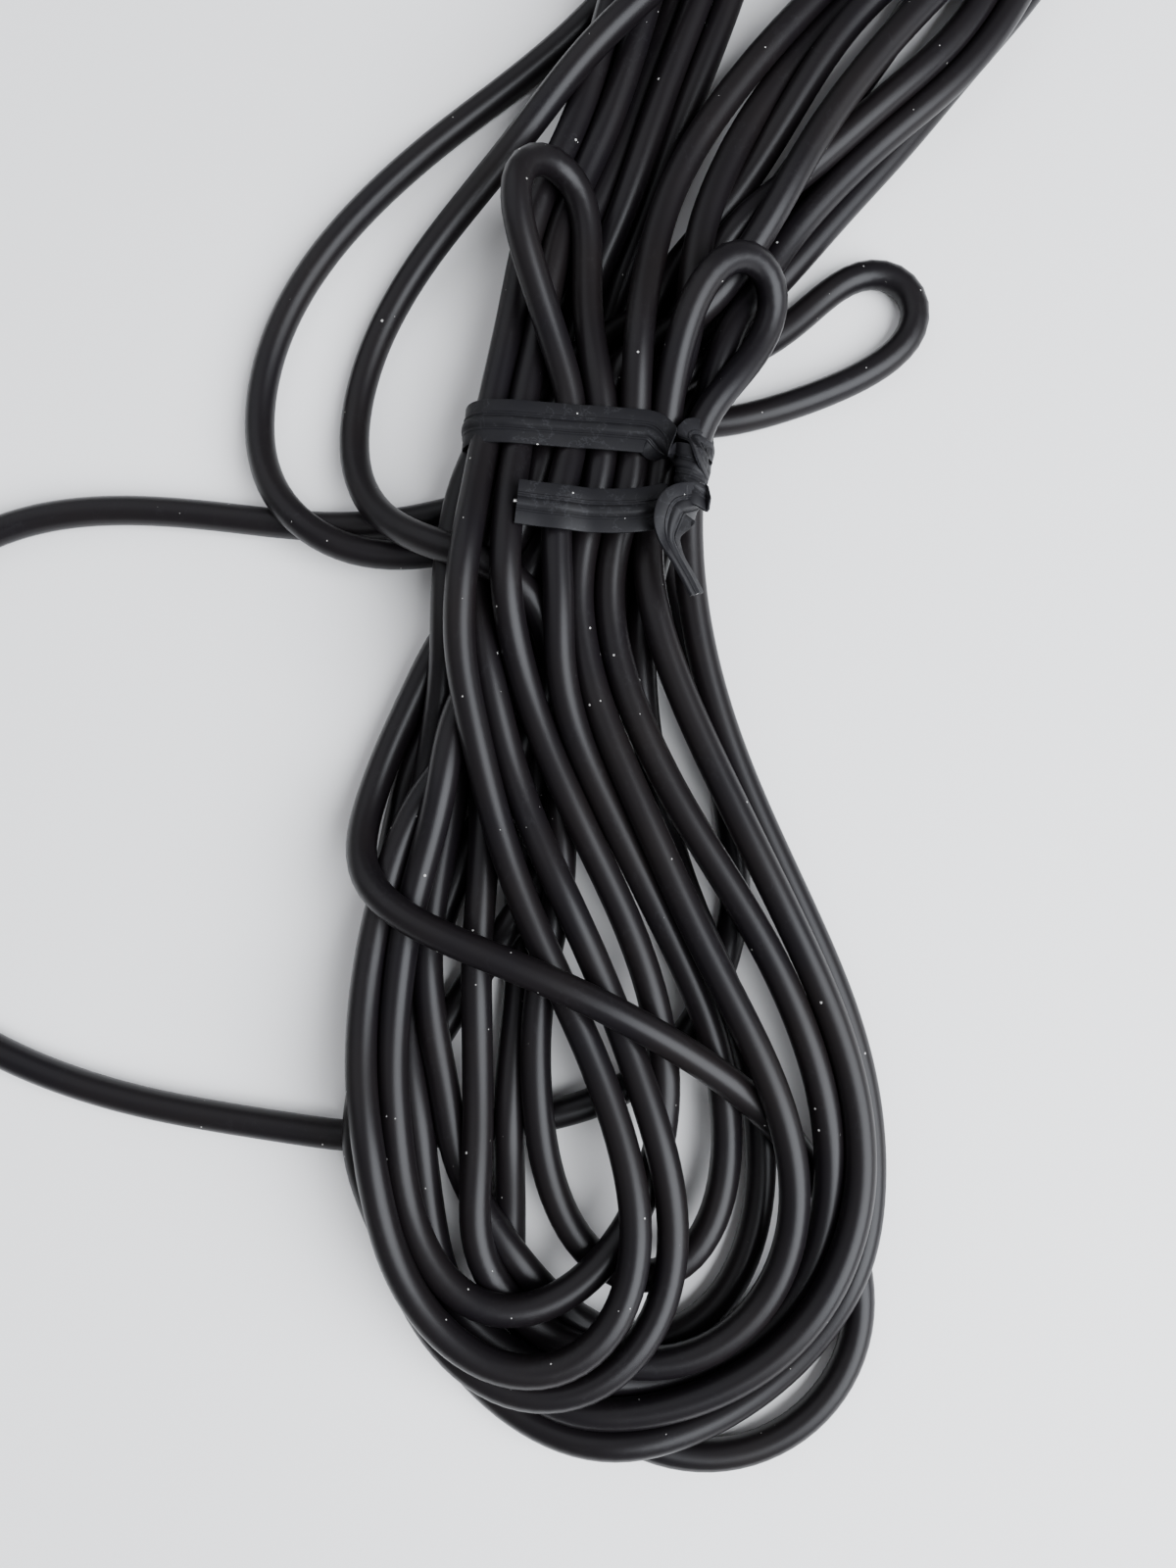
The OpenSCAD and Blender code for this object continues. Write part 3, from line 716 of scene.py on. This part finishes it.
def tie_stations(cord):
    """The whole ribbon: first flat end, twist, round the waist, twist again, second end."""
    up = Vector((0, 0, 1))
    tail = [(x * MM, y * MM) for x, y in ((-8.8, -10.4), (-6, -10.7), (-3, -11), (0, -11.2), (3, -11.3),
                                          (6, -11.2), (9, -10.6))]
    heights = [surface_under(cord, x, y, 2.8 * MM) + 0.4 * MM for x, y in tail]
    top = max(heights)
    flat = [(Vector((x, y, 0.35 * z + 0.65 * top)), up, 1.0) for (x, y), z in zip(tail, heights)]
    knot = surface_under(cord, 12.9 * MM, -7 * MM, 3 * MM)
    axis = (12.9 * MM, -9.6 * MM, -4.6 * MM, max(knot, TIE_TOP) + 2.0 * MM, 1.75 * MM)
    going = twist_stations(150, *axis)
    coming = twist_stations(330, *axis)[::-1]
    steps = ((11.0, -11.6, 1.6, (0.1, -0.2, 1.0), 1.0), (10.2, -13.6, 0.9, (0.3, -0.3, 0.9), 0.9),
             (9.9, -15.2, 0.2, (0.7, -0.1, 0.7), 0.66), (11.0, -17.6, -0.2, (0.7, 0.45, 0.6), 0.6),
             (12.4, -20.0, -0.4, (0.7, 0.45, 0.6), 0.62), (13.4, -22.0, -0.5, (0.7, 0.45, 0.6), 0.62))
    last = [(Vector((x * MM, y * MM, top + lift * MM)), Vector(out), width)
            for x, y, lift, out, width in steps]
    return flat + going + band_stations(cord) + coming + last


def smooth_dense(rows, spacing):
    """Every column eased between the stations, with a row for each step of the spacing."""
    gone = np.r_[0, np.cumsum(np.linalg.norm(np.diff(rows[:, :3], axis=0), axis=1))]
    places = np.linspace(0, gone[-1], int(gone[-1] / spacing))
    dense = np.column_stack([np.interp(places, gone, rows[:, k]) for k in range(rows.shape[1])])
    for _ in range(4):
        dense[1:-1] = (dense[:-2] + 2 * dense[1:-1] + dense[2:]) / 4
    return dense


def ribbon_frames(stations):
    """Frames along the ribbon: X along it, Y across it and Z out of its face."""
    rows = np.array([[*place, *(out * MM), width * MM] for place, out, width in stations])
    fine = smooth_dense(rows, RIBBON_STEP)
    frames = []
    for row, way in zip(fine, np.gradient(fine[:, :3], axis=0)):
        way = Vector(way).normalized()
        out = Vector(row[3:6])
        out = (out - out.dot(way) * way).normalized()
        across = out.cross(way)
        basis = Matrix((way, across * (row[6] / MM), out)).transposed().to_4x4()
        frames.append(Matrix.Translation(row[:3]) @ basis)
    return frames


# ---------------------------------------------------------------- operators

class CABLE_OT_stage(bpy.types.Operator):
    """Makes the camera, the plain floor and the soft lights"""
    bl_idname = "cable.stage"
    bl_label = "Stage"

    def execute(self, context):
        look = settings().stage
        camera = bpy.data.objects.new("camera", bpy.data.cameras.new("camera"))
        camera.data.sensor_width = SENSOR
        camera.data.lens = camera.data.sensor_width / (2 * look.spread)
        camera.data.clip_start = 0.01
        camera.location = AIM + look.distance * Vector((0, -math.sin(look.tilt), math.cos(look.tilt)))
        camera.rotation_euler = (look.tilt, 0, 0)
        context.scene.collection.objects.link(camera)
        context.scene.camera = camera
        self.add_floor()
        self.add_light(context, "key", look.key, KEY_SIZE, KEY_PLACE, (0.90, 0.94, 1.0))
        self.add_light(context, "fill", look.fill, FILL_SIZE, FILL_PLACE, (0.90, 0.93, 1.0))
        world = bpy.data.worlds.new("room")
        world.use_nodes = True
        room = world.node_tree.nodes["Background"].inputs
        room["Color"].default_value = ROOM_COLOUR
        room["Strength"].default_value = ROOM_STRENGTH
        context.scene.world = world
        return {"FINISHED"}

    def add_floor(self):
        bm = bmesh.new()
        bmesh.ops.create_grid(bm, x_segments=1, y_segments=1, size=3.0)
        floor = finish_mesh(bm, "floor", floor_paint())

    def add_light(self, context, name, power, size, place, colour):
        light = bpy.data.lights.new(name, "AREA")
        light.energy = power
        light.size = size
        light.color = colour
        lamp = bpy.data.objects.new(name, light)
        lamp.location = place
        lamp.rotation_euler = (-Vector(place)).to_track_quat("-Z", "Y").to_euler()
        context.scene.collection.objects.link(lamp)


class CABLE_OT_cord(bpy.types.Operator):
    """Winds the cord into its hank, from one plug to the other"""
    bl_idname = "cable.cord"
    bl_label = "Cord"

    def execute(self, context):
        look = settings().cord
        route = cord_route(look.spacing, look.settle_steps)
        cord = round_curve("cord", route, CORD_R, jacket_vinyl(), corners=16)
        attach(cord, "root")
        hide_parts(*CORD_NODES)
        return {"FINISHED"}


class CABLE_OT_tie(bpy.types.Operator):
    """Bends the wired ribbon round the hank's waist and twists its ends together"""
    bl_idname = "cable.tie"
    bl_label = "Ribbon tie"

    def execute(self, context):
        look = settings().tie
        spline = bpy.data.objects["cord"].data.splines[0]
        cord = np.array([point.co[:3] for point in spline.points])
        frames = ribbon_frames(tie_stations(cord))
        half, edge, rib = look.width / 2, look.edge / 2, look.rib / 2
        bead = 0.4 * rib + 0.6 * edge
        above = [(half, 0.6 * edge), (0.94 * half, edge), (0.44 * half, edge), (0.40 * half, bead),
                 (0.34 * half, bead), (0.30 * half, edge), (0.24 * half, edge), (0.15 * half, 0.9 * rib),
                 (0.07 * half, rib)]
        above += [(-u, v) for u, v in reversed(above)]
        under = [(-u, -v) for u, v in above]
        bm = bmesh.new()
        sweep(bm, above + under, frames)
        ribbon = finish_mesh(bm, "tie_ribbon_vinyl", tie_vinyl())
        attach(ribbon, "root")
        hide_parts("tie_ribbon")
        line = np.array([step.translation[:] for step in frames])
        line[0] += line[0] - line[1]
        wire = round_curve("tie_steel_wire", line, WIRE_R, tie_steel(), corners=8)
        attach(wire, "root")
        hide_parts("tie_wire")
        return {"FINISHED"}


class CABLE_OT_plugs(bpy.types.Operator):
    """Gives every part of the two jack plugs its finish"""
    bl_idname = "cable.plugs"
    bl_label = "Jack plugs"

    def execute(self, context):
        look = settings().plug
        contact = plated("contact_nickel", look.nickel, 0.14, wear=0.5)
        lug = plated("tinned_lug", (0.60, 0.58, 0.53), 0.34, wear=0.3)
        copper = bare_copper()
        finishes = {
            "tip": contact,
            "sleeve": contact,
            "tip_insulator": moulded("insulator_black", (0.018, 0.018, 0.019), 0.3),
            "tip_lug": lug,
            "ground_clamp": lug,
            "core_insulation": moulded("core_milky", (0.82, 0.79, 0.71), 0.4),
            "core_wire": copper,
            "shield_pigtail": copper,
            "liner": moulded("liner_milky", (0.76, 0.76, 0.72), 0.38),
            "boot": boot_vinyl(),
            "barrel": plated("barrel_satin", look.barrel, 0.26, wear=0.25),
        }
        for node, material in finishes.items():
            for plug in "ab":
                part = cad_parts[f"{node}_{plug}"]
                part.data.materials.clear()
                part.data.materials.append(material)
        return {"FINISHED"}


class CABLE_PT_panel(bpy.types.Panel):
    """Makes the cable, piece by piece"""
    bl_idname = "CABLE_PT_panel"
    bl_label = "Instrument cable"
    bl_space_type = "VIEW_3D"
    bl_region_type = "UI"
    bl_category = "Cable"

    def draw(self, context):
        look = settings()
        for group, operator in ((look.stage, "cable.stage"), (look.cord, "cable.cord"),
                                (look.tie, "cable.tie"), (look.plug, "cable.plugs")):
            box = self.layout.box()
            for name in group.__annotations__:
                box.prop(group, name)
            box.operator(operator)


CLASSES = (CordSettings, TieSettings, PlugSettings, StageSettings, CableSettings,
           CABLE_OT_stage, CABLE_OT_cord, CABLE_OT_tie, CABLE_OT_plugs, CABLE_PT_panel)


def register():
    for cls in CLASSES:
        bpy.utils.register_class(cls)
    bpy.types.Scene.instrument_cable = PointerProperty(type=CableSettings)


def unregister():
    del bpy.types.Scene.instrument_cable
    for cls in reversed(CLASSES):
        bpy.utils.unregister_class(cls)


def main():
    register()
    bpy.ops.cable.stage()
    bpy.ops.cable.cord()
    bpy.ops.cable.tie()
    bpy.ops.cable.plugs()


if __name__ == "__main__":
    main()
